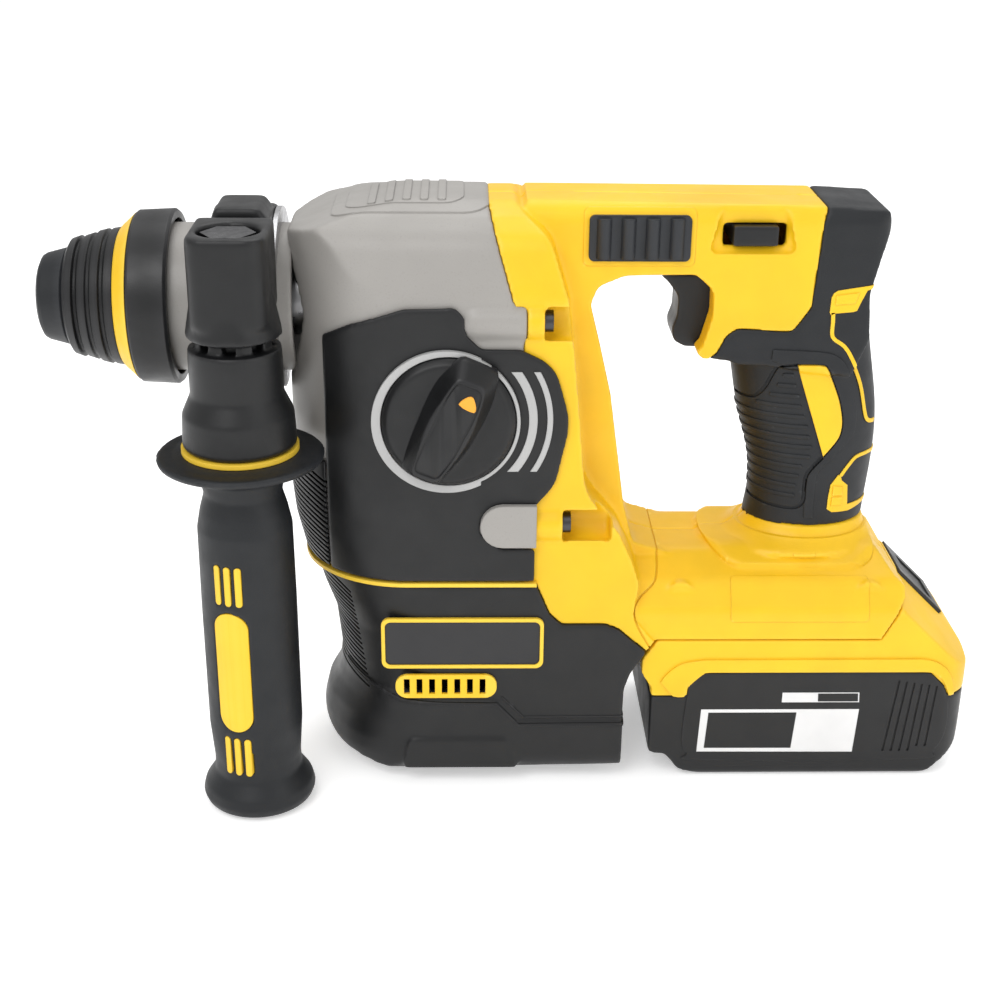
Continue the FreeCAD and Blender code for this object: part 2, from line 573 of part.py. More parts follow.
def make_handle():
    outer = joined([body_form(0), bar_form(0), grip_form(0), foot_form(0), foot_plate()])
    outer = outer.cut(NODES["gear_housing"])
    skin = prism(OVERMOULD_SIDE, "XZ", -30, 30)
    seat = joined([bar_form(2.2), grip_form(2.2)])
    band = outer.common(skin).cut(seat)
    band = band.cut(joined([body_form(0), foot_form(0), foot_plate()])).cut(TRIGGER_SLOT)
    keep("grip_overmould", band)
    shell = outer.cut(band)
    hollow = [body_form(3.2), bar_form(5.2), grip_form(5.2)]
    room = foot_form(3.2).common(box(200, 360, -60, 60, RAIL_Z[1] + 2, -80))
    hollow.append(room)
    shell = without(shell, hollow)
    bosses = []
    for x, z, half in SHELL_SCREWS:
        bosses.append(rod_y(-half + 2, half - 2, 5.0, x, z))
    for boss in (UPPER_BOSS, LOWER_BOSS):
        for side in (-1, 1):
            bosses.append(screw_boss(boss, side, 176, boss["rear"], BOSS_R))
            lining = screw_boss(boss, side, 176, boss["pocket"] + 3, BOSS_R + 2.5)
            bosses.append(lining.common(body_form(0)))
    shell = shell.fuse(bosses)
    cutters = [TRIGGER_SLOT, box(245.7, 268.3, -30, 30, 24.2, 32.4)]
    for side in (-1, 1):
        recess = [(241, 22, 2), (272, 22, 2), (268, 38, 2), (245, 38, 2)]
        cutters.append(prism(recess, "XZ", side * 17.6, side * 30))
        for boss in (UPPER_BOSS, LOWER_BOSS):
            cutters.append(screw_boss(boss, side, boss["rear"], boss["pocket"], BOSS_R))
            cutters.append(screw_boss(boss, side, 150, 200, 2.25))
    for x, z, half in SHELL_SCREWS:
        cutters.append(rod_y(half - 5, half + 10, 3.7, x, z))
        cutters.append(rod_y(half - 24.2, half, 1.95, x, z))
    cutters.append(box(236, 360, -26.4, 26.4, RAIL_Z[0] - GAP, RAIL_Z[1] + GAP))
    cutters.append(box(236, 360, -22, 22, -140, RAIL_Z[0] - 0.2))
    shell = without(shell, cutters)
    keep("handle_shell_left", shell.common(box(100, 400, -80, 0, -200, 80)))
    keep("handle_shell_right", shell.common(box(100, 400, 0, 80, -200, 80)))
    keep("shell_screws", Part.makeCompound([shell_screw(*place) for place in SHELL_SCREWS]))
    screws = []
    for boss in (UPPER_BOSS, LOWER_BOSS):
        for side in (-1, 1):
            head = tube_x(boss["rear"] + 0.05, boss["rear"] + 3.2, 3.9, 1.8, side * BOSS_Y, boss["z"])
            shank = screw_boss(boss, side, boss["front"] + 3, boss["rear"] + 1.6, 2.2)
            screws.append(joined([head, shank]))
    keep("housing_screws", Part.makeCompound(screws))


def make_handle_details():
    pads = []
    for side in (-1, 1):
        low, high = sorted((side * LOOP_HALF, side * (LOOP_HALF + 1.6)))
        pad = [prism([(198, 19.4, 2), (234, 19.4, 2), (234, 35.8, 2), (198, 35.8, 2)], "XZ", low, high)]
        for i in range(4):
            rib = rod_z(20.4, 34.8, 2.6, 203.2 + 8.6 * i, side * (LOOP_HALF + 1.2))
            pad.append(rib.cut(box(190, 240, *sorted((0, side * LOOP_HALF)), 0, 50)))
        pads.append(joined(pad))
    keep("side_pads", Part.makeCompound(pads))
    button = box(249, 265, -21, 21, 24.6, 32.0)
    keep("reversing_button", without(button, [box(254, 260, -15, 15, 23, 27)]))
    face = [(224.6, 11.6, 0.6), (228.2, 8.6, 3), (232.4, 3, 5), (232.2, -4.6, 4), (230.5, -9.5, 3),
            (231.4, -14, 3),
            (235.6, -16.2, 3), (246, -16.4, 2), (253, -13), (253, 6), (247, 6, 2), (244, 11.6, 2)]
    blade = prism(face, "XZ", -9, 9)
    keep("trigger", joined([blade, rod_x(252, 264, 2.0, 0, -2)]))
    body = box(259.6, 281, -9, 9, -14, 15).cut(rod_x(250, 273, 2.3, 0, -2))
    keep("trigger_switch", body.common(joined([bar_form(5.3), grip_form(5.3)])))
    board = prism([(243, -24, 3), (301, -24, 3), (301, 24, 3), (243, 24, 3)], "XY", -110.6, -109)
    keep("control_board", board)
    sink = [box(250, 292, -18, 18, -108.9, -106.5)]
    sink = sink + [box(250, 292, -17.4 + 4.8 * i, -16 + 4.8 * i, -107, -99.6) for i in range(8)]
    keep("heat_sink", joined(sink))
    block = [box(236.3, 250, -18, 18, RAIL_Z[0], RAIL_Z[1])]
    block = block + [box(249, 264, y - 0.4, y + 0.4, RAIL_Z[0] + 1, RAIL_Z[1] - 1.5)
                     for y in (-12, -4, 4, 12)]
    keep("terminal_block", joined(block))


# ---------------------------------------------------------------- battery pack
LATCH_SLOPE = math.atan2(21.7, 22.2)
SLOPE_TOP = (321.8, -103.8)
SLOPE_CROWN = [(-60, -220), (60, -220), (60, -13), (38.5, -6.5, 4), (26, -3.2, 12), (11, 0, 12),
               (-11, 0, 12),
               (-26, -3.2, 12), (-38.5, -6.5, 4), (-60, -13)]
PACK_SIDE = [(227.6, -123.8, 2), (313.3, -123.8), (321.8, -107.2), SLOPE_TOP, (344, -125.5, 5),
             (350.3, -134.5, 3), (350.3, -149, 3), (349, -172, 8), (335.5, BASE_Z, 6), (246, BASE_Z, 3),
             (238, -181, 3), (233, -174.5, 2), (226.0, -173.4, 1.5), (226.0, -144.4, 2), (222.2, -138, 2),
             (222.2, -131.5, 2)]
PACK_CROSS = [(-PACK_HALF, BASE_Z, 3), (PACK_HALF, BASE_Z, 3), (PACK_HALF, -111.5, 8), (31.5, -101.2, 8),
              (17, -94, 12), (-17, -94, 12), (-31.5, -101.2, 8), (-PACK_HALF, -111.5, 8)]
CASE_SIDE = [(200, -148), (239.3, -148), (240, -143.5, 4), (246, -137.4, 6), (333, -137.4, 6),
             (339.4, -143.5, 4),
             (341.2, -148), (370, -148), (370, -200), (200, -200)]


def pack_form(inset):
    side = shaped(PACK_SIDE, "XZ", -PACK_HALF, PACK_HALF, inset)
    side = side.common(shaped(PACK_CROSS, "YZ", 200, 370, inset))
    front_x = 215 + inset
    rear_x = 350.3 - inset
    half = PACK_HALF - inset
    plan = prism([(front_x, -half), (rear_x, -half, 12), (rear_x, half, 12), (front_x, half)], "XY", -200,
                 -80)
    crown = shaped(SLOPE_CROWN, "YZ", -300, 300, inset)
    crown.rotate(Vector(0, 0, 0), Vector(0, 1, 0), math.degrees(LATCH_SLOPE))
    crown.translate(Vector(SLOPE_TOP[0], 0, SLOPE_TOP[1]))
    return side.common(plan).common(crown)


def slope_plate(start, end, top, bottom, half):
    """Plate lying in the slope of the pack's rear, between two distances down that slope."""
    along = (math.cos(LATCH_SLOPE), -math.sin(LATCH_SLOPE))
    inward = (-math.sin(LATCH_SLOPE), -math.cos(LATCH_SLOPE))
    corners = []
    for run, depth in ((start, top), (end, top), (end, bottom), (start, bottom)):
        x = SLOPE_TOP[0] + along[0] * run + inward[0] * depth
        z = SLOPE_TOP[1] + along[1] * run + inward[1] * depth
        corners.append((x, z))
    return prism(corners, "XZ", -half, half)


def make_battery():
    wall = 1.7
    solid = pack_form(0)
    shell = solid.cut(pack_form(wall))
    lower = prism(CASE_SIDE, "XZ", -60, 60)
    keep("battery_case", shell.common(lower))
    stem = box(253, 321.8, -21.6, 21.6, -125, RAIL_Z[0] + 0.1)
    rail = joined([box(253, 324, -26, 26, RAIL_Z[0], RAIL_Z[1]), stem])
    slots = [box(252, 266, y - 1.0, y + 1.0, RAIL_Z[0] - 1, RAIL_Z[1] + 1) for y in (-12, -4, 4, 12)]
    cover = joined([shell.cut(lower), rail])
    keep("battery_cover", without(cover, slots + [slope_plate(3.1, 29.4, -2, 3.6, 14)]))
    button = slope_plate(3.4, 29.1, -0.4, 1.6, 13.7)
    keep("battery_latch", button.cut(slope_plate(9, 25, -1, 0.3, 9)))
    cells = []
    for row in range(2):
        z = -172.4 + 19.2 * row
        for i in range(5):
            cells.append(rod_y(-32.5, 32.5, 9.1, 250.5 + 19 * i, z))
    keep("battery_cells", Part.makeCompound(cells))
    holder = box(240.8, 336.2, -26, -23, -181.8, -142.8).fuse(box(240.8, 336.2, 23, 26, -181.8, -142.8))
    bores = [rod_y(-40, 40, 9.15, 250.5 + 19 * i, -172.4 + 19.2 * row) for i in range(5)
             for row in range(2)]
    keep("cell_holder", without(holder, bores).common(pack_form(wall + 0.1)))
    label = [(243, -176, 3), (322, -176, 3), (322, -145, 3), (243, -145, 3)]
    labels = [prism(label, "XZ", *sorted((side * PACK_HALF, side * (PACK_HALF + 0.6)))) for side in (-1, 1)]
    keep("battery_labels", Part.makeCompound(labels))


# ---------------------------------------------------------------- side handle
def slot_z(x, width, bottom, top, radius, y0, y1):
    """Upright slot with rounded corners, cut along Y."""
    half = width / 2
    corners = [(x - half, bottom, radius), (x + half, bottom, radius), (x + half, top, radius),
               (x - half, top, radius)]
    return prism(corners, "XZ", y0, y1)


def make_side_handle():
    band = rod_x(64, 86, 34.0)
    lug = prism([(65, 18), (86, 18), (86, 34, 2), (83, 38.6, 2), (67.4, 38.6, 2), (65, 30, 3)], "XZ", -25,
                -2)
    post_plan = [(62, -63, 7), (89, -63, 7), (89, -30), (62, -30)]
    post = prism(post_plan, "XY", 6, 37)
    flare = turned_z([(18, 0), (18, 13.2), (14, 14.2), (0.4, 16.8), (0.4, 0)], HANDLE_X, HANDLE_Y)
    clamp = joined([band, lug, post, flare])
    core_bore = rod_x(40, 110, BARREL_R + RUN)
    bolt_hole = rod_z(-10, 60, 4.1, HANDLE_X, HANDLE_Y)
    head_room = rod_z(31, 60, 10.6, HANDLE_X, HANDLE_Y)
    collar_room = rod_z(-26, 0.4, 16.8, HANDLE_X, HANDLE_Y)
    keep("handle_clamp", without(clamp, [core_bore, bolt_hole, head_room, collar_room]))
    strap = without(rod_x(86.2, 88.0, 33.0), [core_bore, NODES["handle_clamp"]])
    keep("clamp_strap", strap)
    hexagon = [(HANDLE_X + 9.4 * math.cos(math.radians(60 * i)),
                HANDLE_Y + 9.4 * math.sin(math.radians(60 * i)))
               for i in range(6)]
    bolt = joined([prism(hexagon, "XY", 31.05, 36), rod_z(-62, 31.1, 4.0, HANDLE_X, HANDLE_Y)])
    keep("clamp_bolt", bolt)
    bore = 4.1
    collar = turned_z([(0, bore), (0, 13.4), (-3.4, 13.4), (-3.4, 16.0), (-8, 16.2), (-20, 16.2),
                       (-27, 19.4),
                       (-38, 20.0), (-39.4, 19.0), (-39.4, bore)], HANDLE_X, HANDLE_Y)
    notches = []
    for i in range(8):
        notch = box(HANDLE_X + 9, HANDLE_X + 15, HANDLE_Y - 2.2, HANDLE_Y + 2.2, -3.3, 1)
        notch.rotate(Vector(HANDLE_X, HANDLE_Y, 0), Vector(0, 0, 1), 45.0 * i)
        notches.append(notch)
    keep("handle_collar", collar.cut(Part.makeCompound(notches)))
    keep("grip_trim_ring", turned_z([(-39.5, bore), (-39.5, 20.6), (-41.3, 20.6), (-41.3, bore)],
                                    HANDLE_X, HANDLE_Y))
    profile = [(-41.4, 16), (-41.4, 20.8), (-42.2, 24), (-42.4, GUARD_R - 1), (-43.0, GUARD_R),
               (-44.8, GUARD_R - 0.6),
               (-45.6, GUARD_R - 3), (-48, 19), (-51, 15.2), (-57, 13.9), (-63, 15.6), (-70, 17.0),
               (-100, 17.3),
               (-150, 17.3), (-165, 16.2), (-170, 16.4), (-176, 20.4), (-179.5, 21.3), (-182.4, 20.2),
               (BASE_Z, 16.5),
               (BASE_Z, 0), (-172, 0), (-172, 12.5), (-60, 12.5), (-56, 11), (-50, 11), (-46, 12.5)]
    rubber = turned_z(profile, HANDLE_X, HANDLE_Y)
    windows = []
    for side in (-1, 1):
        low, high = sorted((HANDLE_Y + side * 8.0, HANDLE_Y + side * 30.0))
        windows.append(slot_z(HANDLE_X, 13.0, -147.2, -98.5, 6.4, low, high))
        for bottom, top in ((-95.4, -80), (-166, -150.2)):
            for i in (-1, 0, 1):
                windows.append(slot_z(HANDLE_X + 4.0 * i, 2.3, bottom, top, 1.1, low, high))
    for window in windows:
        window.rotate(Vector(HANDLE_X, HANDLE_Y, 0), Vector(0, 0, 1), -18)
    keep("side_grip", without(rubber, windows))
    core = turned_z([(-41.5, bore), (-41.5, 12.4), (-46, 12.3), (-50, 10.9), (-56, 10.9), (-60, 12.4),
                     (-171.9, 12.4),
                     (-171.9, 8), (-70, 8), (-70, bore)], HANDLE_X, HANDLE_Y)
    lugs = rod_z(-168, -76, 17.2, HANDLE_X, HANDLE_Y).cut(rod_z(-170, -70, 12, HANDLE_X, HANDLE_Y))
    lugs = lugs.common(Part.makeCompound(windows))
    keep("grip_core", core.fuse(lugs.Solids))


# ---------------------------------------------------------------- build and write
make_tool_holder()
make_dust_cap()
make_sleeve()
make_barrel()
keep("gear_housing", make_gear_housing())
make_covers()
make_dial()
make_drive()
make_motor_housing()
make_motor()
make_bearings()
make_handle()
make_handle_details()
make_battery()
make_side_handle()

for name, shape in NODES.items():
    shape.exportStep("parts/" + name + ".step")
print(len(NODES), "nodes")
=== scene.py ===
import json
import math

import bmesh
import bpy
from mathutils import Matrix, Vector

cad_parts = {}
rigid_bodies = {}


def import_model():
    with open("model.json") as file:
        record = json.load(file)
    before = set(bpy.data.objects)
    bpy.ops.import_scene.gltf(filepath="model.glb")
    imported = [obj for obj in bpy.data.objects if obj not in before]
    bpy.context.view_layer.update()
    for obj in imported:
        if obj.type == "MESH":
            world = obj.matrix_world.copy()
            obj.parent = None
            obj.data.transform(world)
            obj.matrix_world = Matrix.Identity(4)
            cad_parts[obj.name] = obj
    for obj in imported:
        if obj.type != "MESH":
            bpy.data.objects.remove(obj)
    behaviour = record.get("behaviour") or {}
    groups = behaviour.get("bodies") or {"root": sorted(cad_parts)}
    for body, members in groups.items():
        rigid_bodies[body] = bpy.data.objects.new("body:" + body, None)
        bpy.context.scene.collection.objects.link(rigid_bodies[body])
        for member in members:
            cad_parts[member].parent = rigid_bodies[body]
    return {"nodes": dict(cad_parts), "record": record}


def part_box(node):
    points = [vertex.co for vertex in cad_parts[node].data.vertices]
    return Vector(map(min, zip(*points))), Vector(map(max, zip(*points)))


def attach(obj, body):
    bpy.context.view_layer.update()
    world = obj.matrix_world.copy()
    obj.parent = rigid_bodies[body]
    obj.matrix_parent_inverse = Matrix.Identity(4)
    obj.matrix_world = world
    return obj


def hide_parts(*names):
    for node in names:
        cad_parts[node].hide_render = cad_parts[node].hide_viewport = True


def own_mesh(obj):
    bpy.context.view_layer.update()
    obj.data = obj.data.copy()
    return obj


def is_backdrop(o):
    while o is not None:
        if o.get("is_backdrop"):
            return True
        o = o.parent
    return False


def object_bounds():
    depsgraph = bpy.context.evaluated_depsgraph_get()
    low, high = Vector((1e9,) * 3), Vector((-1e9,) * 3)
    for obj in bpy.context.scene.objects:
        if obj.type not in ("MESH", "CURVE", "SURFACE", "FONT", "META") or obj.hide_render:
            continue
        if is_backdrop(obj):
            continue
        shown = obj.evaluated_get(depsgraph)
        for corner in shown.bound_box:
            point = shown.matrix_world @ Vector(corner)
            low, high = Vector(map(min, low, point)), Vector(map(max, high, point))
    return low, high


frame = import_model()
CAD_LOW, CAD_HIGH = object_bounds()
MM = 0.001


# ---------------------------------------------------------------- materials
class Shader:
    """A node material with a Principled shader and short calls for the nodes it is built from."""

    def __init__(self, name, roughness, metallic=0.0):
        self.material = bpy.data.materials.new(name)
        self.material.use_nodes = True
        self.tree = self.material.node_tree
        self.bsdf = self.tree.nodes["Principled BSDF"]
        self.bsdf.inputs["Roughness"].default_value = roughness
        self.bsdf.inputs["Metallic"].default_value = metallic
        self.place = self.tree.nodes.new("ShaderNodeTexCoord").outputs["Object"]

    def node(self, kind, **values):
        made = self.tree.nodes.new(kind)
        for key, value in values.items():
            made.inputs[key.replace("_", " ")].default_value = value
        return made

    def link(self, output, target):
        self.tree.links.new(output, target)

    def noise(self, scale, detail=3.0, roughness=0.55):
        made = self.node("ShaderNodeTexNoise", Scale=scale, Detail=detail, Roughness=roughness)
        self.link(self.place, made.inputs["Vector"])
        return made.outputs["Fac"]

    def ramp(self, value, low, high, start, end):
        made = self.tree.nodes.new("ShaderNodeMapRange")
        made.inputs["From Min"].default_value = start
        made.inputs["From Max"].default_value = end
        made.inputs["To Min"].default_value = low
        made.inputs["To Max"].default_value = high
        self.link(value, made.inputs["Value"])
        return made.outputs["Result"]

    def blend(self, factor, first, second):
        made = self.tree.nodes.new("ShaderNodeMix")
        made.data_type = "RGBA"
        for name, value in (("A", first), ("B", second)):
            socket = [s for s in made.inputs if s.name == name and s.type == "RGBA"][0]
            if isinstance(value, tuple):
                socket.default_value = (*value, 1.0)
            else:
                self.link(value, socket)
        self.link(factor, made.inputs["Factor"])
        return [s for s in made.outputs if s.type == "RGBA"][0]

    def colour(self, value):
        self.link(value, self.bsdf.inputs["Base Color"])

    def rough(self, value):
        self.link(value, self.bsdf.inputs["Roughness"])

    def bump(self, height, distance, strength, edge=0.0):
        made = self.node("ShaderNodeBump", Strength=strength, Distance=distance)
        self.link(height, made.inputs["Height"])
        if edge > 0:
            bevel = self.tree.nodes.new("ShaderNodeBevel")
            bevel.samples = 4
            bevel.inputs["Radius"].default_value = edge
            self.link(bevel.outputs["Normal"], made.inputs["Normal"])
        self.link(made.outputs["Normal"], self.bsdf.inputs["Normal"])


def moulded(name, base, worn, roughness, grain=2200.0, depth=0.00006, edge=0.0006, coat=0.0, gloss=0.4):
    """Moulded plastic or rubber: spark-eroded grain, slow tone changes, paler rubbed edges."""
    shader = Shader(name, roughness)
    tone = shader.noise(26.0, 4.0)
    shade = tuple(c * 0.86 for c in base)
    body = shader.blend(shader.ramp(tone, 0.0, 1.0, 0.35, 0.7), base, shade)
    shape = shader.tree.nodes.new("ShaderNodeNewGeometry")
    rubbed = shader.ramp(shape.outputs["Pointiness"], 0.0, 0.55, 0.515, 0.60)
    shader.colour(shader.blend(rubbed, body, worn))
    fine = shader.noise(grain, 2.0, 0.6)
    shader.rough(shader.ramp(shader.noise(90.0, 3.0), roughness - 0.06, roughness + 0.09, 0.3, 0.7))
    shader.bump(fine, depth, 0.5, edge)
    shader.bsdf.inputs["Specular IOR Level"].default_value = gloss
    shader.bsdf.inputs["Coat Weight"].default_value = coat
    shader.bsdf.inputs["Coat Roughness"].default_value = 0.3
    return shader.material


def metal(name, base, roughness, scale=400.0):
    """Machined or blackened metal with an uneven sheen."""
    shader = Shader(name, roughness, 1.0)
    body = shader.blend(shader.noise(60.0), base, tuple(c * 0.75 for c in base))
    shader.colour(body)
    shader.rough(shader.ramp(shader.noise(scale, 4.0), roughness - 0.08, roughness + 0.12, 0.3, 0.7))
    shader.bump(shader.noise(scale * 2, 3.0), 0.00003, 0.5, 0.0004)
    return shader.material


def cast_paint(name, base):
    """Sprayed light-metal casting: fine orange-peel with faint darker flecks."""
    shader = Shader(name, 0.42)
    flecks = shader.ramp(shader.noise(1500.0, 2.0), 0.0, 0.35, 0.58, 0.75)
    tone = shader.blend(shader.ramp(shader.noise(18.0), 0.0, 1.0, 0.35, 0.7), base,
                        tuple(c * 0.9 for c in base))
    shader.colour(shader.blend(flecks, tone, tuple(c * 0.7 for c in base)))
    shader.rough(shader.ramp(shader.noise(70.0), 0.36, 0.52, 0.3, 0.7))
    shader.bump(shader.noise(900.0, 2.0), 0.00008, 0.4, 0.0008)
    return shader.material


YELLOW = moulded("yellow_plastic", (0.90, 0.545, 0.010), (0.94, 0.66, 0.08), 0.42)
BLACK = moulded("black_plastic", (0.007, 0.0073, 0.0080), (0.035, 0.035, 0.038), 0.42)
RUBBER = moulded("black_rubber", (0.008, 0.0095, 0.0118), (0.034, 0.037, 0.042), 0.50, 1700.0, 0.0001)
GREY = cast_paint("grey_housing", (0.34, 0.325, 0.305))
GREY_TRIM = moulded("grey_trim", (0.38, 0.38, 0.37), (0.5, 0.5, 0.5), 0.45)
STEEL = metal("steel", (0.50, 0.50, 0.51), 0.32)
DARK_STEEL = metal("blackened_steel", (0.09, 0.09, 0.095), 0.34)
IRON = metal("laminated_iron", (0.25, 0.22, 0.20), 0.5)
ALUMINIUM = metal("aluminium", (0.70, 0.70, 0.72), 0.38)
BOARD = moulded("board", (0.03, 0.18, 0.08), (0.1, 0.3, 0.15), 0.4)
PRINT = moulded("white_print", (0.80, 0.80, 0.80), (0.85, 0.85, 0.85), 0.4, 1500.0, 0.00001)
POINTER = moulded("orange_print", (0.95, 0.36, 0.01), (0.95, 0.45, 0.05), 0.4, 1500.0, 0.00001)
CELL = moulded("cell_wrap", (0.08, 0.25, 0.45), (0.2, 0.4, 0.6), 0.35)

SLOT_MATERIALS = {"yellow_plastic": YELLOW, "black_plastic": BLACK, "black_rubber": RUBBER,
                  "grey_housing": GREY,
                  "grey_trim": GREY_TRIM, "steel": STEEL, "laminated_iron": IRON, "aluminium": ALUMINIUM,
                  "board": BOARD, "cell_wrap": CELL}


def dress(obj, material):
    """Make a material the only one of an object."""
    obj.data.materials.clear()
    obj.data.materials.append(material)


for entry in frame["record"]["subparts"]:
    dress(frame["nodes"][entry["node"]], SLOT_MATERIALS[entry["material_slot"]])
for name in ("clamp_bolt", "housing_screws", "shell_screws"):
    dress(frame["nodes"][name], DARK_STEEL)


# ---------------------------------------------------------------- building helpers
NEAR, FAR = -1, 1
VOXEL = 0.0009
WELD = 0.000002
FLANK_REACH = 70.0
SPLIT_GAP = 0.4


def freeze(obj):
    """Turn what an object's modifiers make into its mesh."""
    graph = bpy.context.evaluated_depsgraph_get()
    made = bpy.data.meshes.new_from_object(obj.evaluated_get(graph))
    old = obj.data
    obj.modifiers.clear()
    obj.data = made
    bpy.data.meshes.remove(old)


def piece(name, form):
    """Object in the scene made from a mesh form."""
    mesh = bpy.data.meshes.new(name)
    form.to_mesh(mesh)
    form.free()
    obj = bpy.data.objects.new(name, mesh)
    bpy.context.scene.collection.objects.link(obj)
    return obj


def soft_copy(node, name, voxel=VOXEL, rounds=6):
    """Closed copy of a node's surface with its sharp edges rounded off."""
    form = bmesh.new()
    form.from_mesh(frame["nodes"][node].data)
    bmesh.ops.remove_doubles(form, verts=form.verts, dist=WELD)
    obj = piece(name, form)
    remesh = obj.modifiers.new("closed", "REMESH")
    remesh.mode = "VOXEL"
    remesh.voxel_size = voxel
    smooth = obj.modifiers.new("rounded", "SMOOTH")
    smooth.factor = 0.5
    smooth.iterations = rounds
    freeze(obj)
    return obj


def grown(skin, name, height):
    """Copy of a skin with every point moved out (or in) along its normal by mm."""
    form = bmesh.new()
    form.from_mesh(skin.data)
    form.normal_update()
    moves = [(vert, vert.co + vert.normal * height * MM) for vert in form.verts]
    for vert, place in moves:
        vert.co = place
    return piece(name, form)


def prism(outline, low, high, name="prism"):
    """Solid between two Y planes on a closed outline of (x, z) points in mm."""
    form = bmesh.new()
    front = [form.verts.new((x * MM, low * MM, z * MM)) for x, z in outline]
    back = [form.verts.new((x * MM, high * MM, z * MM)) for x, z in outline]
    form.faces.new(front)
    form.faces.new(back[::-1])
    for i, vert in enumerate(front):
        j = (i + 1) % len(front)
        form.faces.new((vert, back[i], back[j], front[j]))
    bmesh.ops.triangulate(form, faces=form.faces)
    bmesh.ops.recalc_face_normals(form, faces=form.faces)
    return piece(name, form)


def tall(outline, low, high):
    """Solid between two heights on a closed outline of (x, y) points in mm."""
    obj = prism(outline, 0, high - low)
    for vert in obj.data.vertices:
        x, up, y = vert.co
        vert.co = (x, y, low * MM + up)
    form = bmesh.new()
    form.from_mesh(obj.data)
    bmesh.ops.recalc_face_normals(form, faces=form.faces)
    form.to_mesh(obj.data)
    form.free()
    return obj


def combine(obj, other, operation):
    """Join, cut or keep the common part of two closed bodies; the second one is used up."""
    modifier = obj.modifiers.new("join", "BOOLEAN")
    modifier.solver = "MANIFOLD"
    modifier.operation = operation
    modifier.object = other
    freeze(obj)
    bpy.data.objects.remove(other)


def reach(side):
    """Y range in mm that covers one flank of the machine."""
    return (-FLANK_REACH, -SPLIT_GAP) if side == NEAR else (SPLIT_GAP, FLANK_REACH)


def patch(skin, outline, height, side, name="patch"):
    """The part of a skin grown by height that lies behind an outline."""
    pad = grown(skin, name, height)
    combine(pad, prism(outline, *reach(side)), "INTERSECT")
    return pad


def raised(skin, outline, height, side=NEAR):
    """Raise the part of one flank that lies behind an (x, z) outline."""
    combine(skin, patch(skin, outline, height, side), "UNION")


def sunk(skin, outline, depth, side=NEAR):
    """Sink the part of one flank that lies behind an (x, z) outline."""
    tool = prism(outline, *reach(side))
    combine(tool, grown(skin, "deep", -depth), "DIFFERENCE")
    combine(skin, tool, "DIFFERENCE")


def raised_top(skin, outline, height, low, high):
    """Raise the part of a skin above a closed outline of (x, y) points in mm."""
    pad = grown(skin, "pad", height)
    combine(pad, tall(outline, low, high), "INTERSECT")
    combine(skin, pad, "UNION")


def curve_points(points, closed=False, steps=6):
    """Smooth run of points through the given ones."""
    count = len(points)
    made = []
    for i in range(count if closed else count - 1):
        if closed:
            p0, p1, p2, p3 = (points[(i + k) % count] for k in (-1, 0, 1, 2))
        else:
            p0, p1, p2, p3 = (points[min(max(i + k, 0), count - 1)] for k in (-1, 0, 1, 2))
        for step in range(steps):
            t = step / steps
            made.append(tuple(0.5 * (2 * b + (c - a) * t + (2 * a - 5 * b + 4 * c - d) * t * t
                                     + (3 * b - a - 3 * c + d) * t ** 3)
                                     for a, b, c, d in zip(p0, p1, p2, p3)))
    if not closed:
        made.append(tuple(points[-1]))
    return made


def ribbon(path, width):
    """Closed outline of a band of the given width along an open path."""
    left, right = [], []
    for i, (x, z) in enumerate(path):
        ax, az = path[max(i - 1, 0)]
        bx, bz = path[min(i + 1, len(path) - 1)]
        length = math.hypot(bx - ax, bz - az)
        nx, nz = -(bz - az) / length, (bx - ax) / length
        left.append((x + nx * width / 2, z + nz * width / 2))
        right.append((x - nx * width / 2, z - nz * width / 2))
    return left + right[::-1]


def rounded_box(x0, z0, x1, z1, radius, steps=5):
    """Closed outline of a box with round corners."""
    made = []
    for cx, cz, start in ((x1 - radius, z1 - radius, 0), (x0 + radius, z1 - radius, 90),
                          (x0 + radius, z0 + radius, 180), (x1 - radius, z0 + radius, 270)):
        for step in range(steps + 1):
            angle = math.radians(start + 90 * step / steps)
            made.append((cx + radius * math.cos(angle), cz + radius * math.sin(angle)))
    return made


def shade(obj, material, body, slot, angle=32.0):
    """Give a piece its material, smooth shading up to an angle and its body; the slot argument is not used.
    """
    dress(obj, material)
    for polygon in obj.data.polygons:
        polygon.use_smooth = True
    obj.data.set_sharp_from_angle(angle=math.radians(angle))
    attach(obj, body)


def inlay(skin, outline, height, name, material, body, slot, side=NEAR):
    """Separate piece set into a skin and standing a little proud of it."""
    obj = patch(skin, outline, height, side, name)
    shade(obj, material, body, slot)
    return obj


# ---------------------------------------------------------------- rear handle grip
grip = soft_copy("grip_overmould", "grip_skin", VOXEL * 0.9)
BAND = curve_points([(275.8, -19.4), (284.8, -19.6), (287.3, -21.4), (290.4, -27.7), (293.3, -34.9),
                     (295.0, -42.2),
                     (294.8, -47.1), (293.3, -50.5), (288.8, -56.3)])
PALM = curve_points([(244, -36.5), (256.6, -35.3), (260.9, -34.9), (263.4, -33.4), (265.8, -29.6),
                     (268.0, -23.8),
                     (270.2, -20.3), (275.7, -19.4)])
PALM_LOW = curve_points([(288.6, -56.6), (283.8, -62.8), (282.9, -67.5), (282.9, -74.1), (281.4, -76.9),
                         (277.8, -77.9), (269.8, -77.7), (264.3, -77.1), (244, -76.2)])
RIDGE = curve_points([(266.4, -13.6), (283.5, -14.4), (290.4, -16.3), (294.6, -21.3), (299.2, -34.0),
                      (300.8, -41.3),
                      (300.1, -48.3), (294.6, -54.8), (288.2, -61.8), (286.9, -66.4), (286.9, -81.4)])
